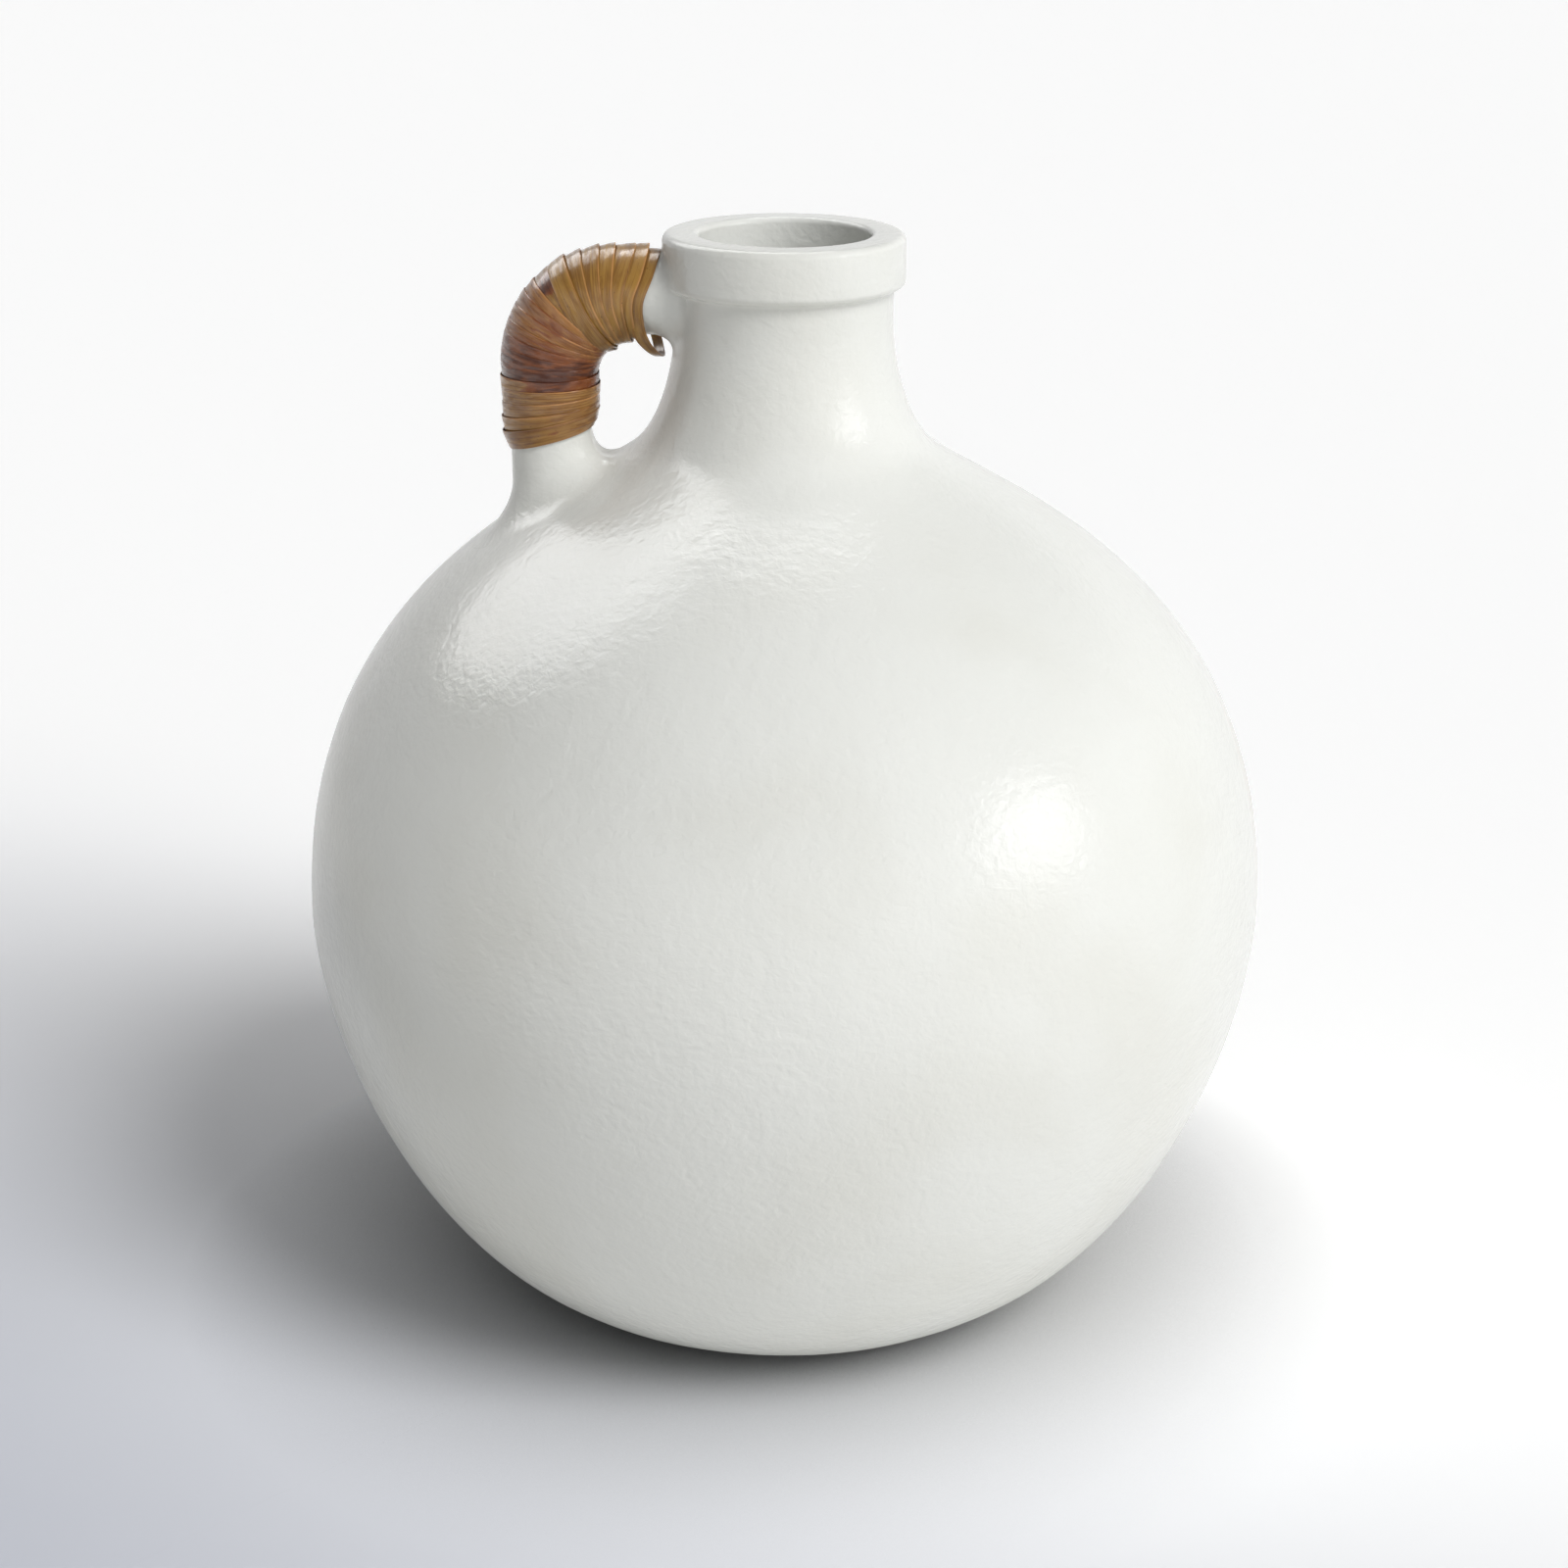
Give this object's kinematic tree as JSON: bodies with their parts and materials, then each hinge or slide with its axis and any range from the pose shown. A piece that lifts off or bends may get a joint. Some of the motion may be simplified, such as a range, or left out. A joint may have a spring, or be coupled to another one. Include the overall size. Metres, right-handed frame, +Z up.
{
  "type": "globe vase with handle",
  "caption": "Round-bodied glazed earthenware vase with a short flared neck, a thick collared mouth and a bent handle bound in flat cane strip.",
  "frame": {"origin": "middle of the flat foot, on the surface that the vase stands on", "axes": "+Z up along the axis of the globe, handle towards -X, pictured from -Y"},
  "size_m": [0.3, 0.3, 0.34],
  "materials": {
    "white_glaze": "satin white glaze on fired earthenware, faintly uneven",
    "honey_cane": "varnished flat cane, honey brown",
    "dark_cane": "varnished flat cane, dark brown",
    "golden_cane": "varnished flat cane, golden brown"
  },
  "bodies": {
    "root": {"globe_lower_half": "white_glaze", "globe_upper_half": "white_glaze", "neck": "white_glaze", "rim_collar": "white_glaze", "handle_core": "white_glaze", "cane_strip_lower": "honey_cane", "cane_strip_middle": "dark_cane", "cane_strip_upper": "golden_cane"}
  },
  "joints": []
}
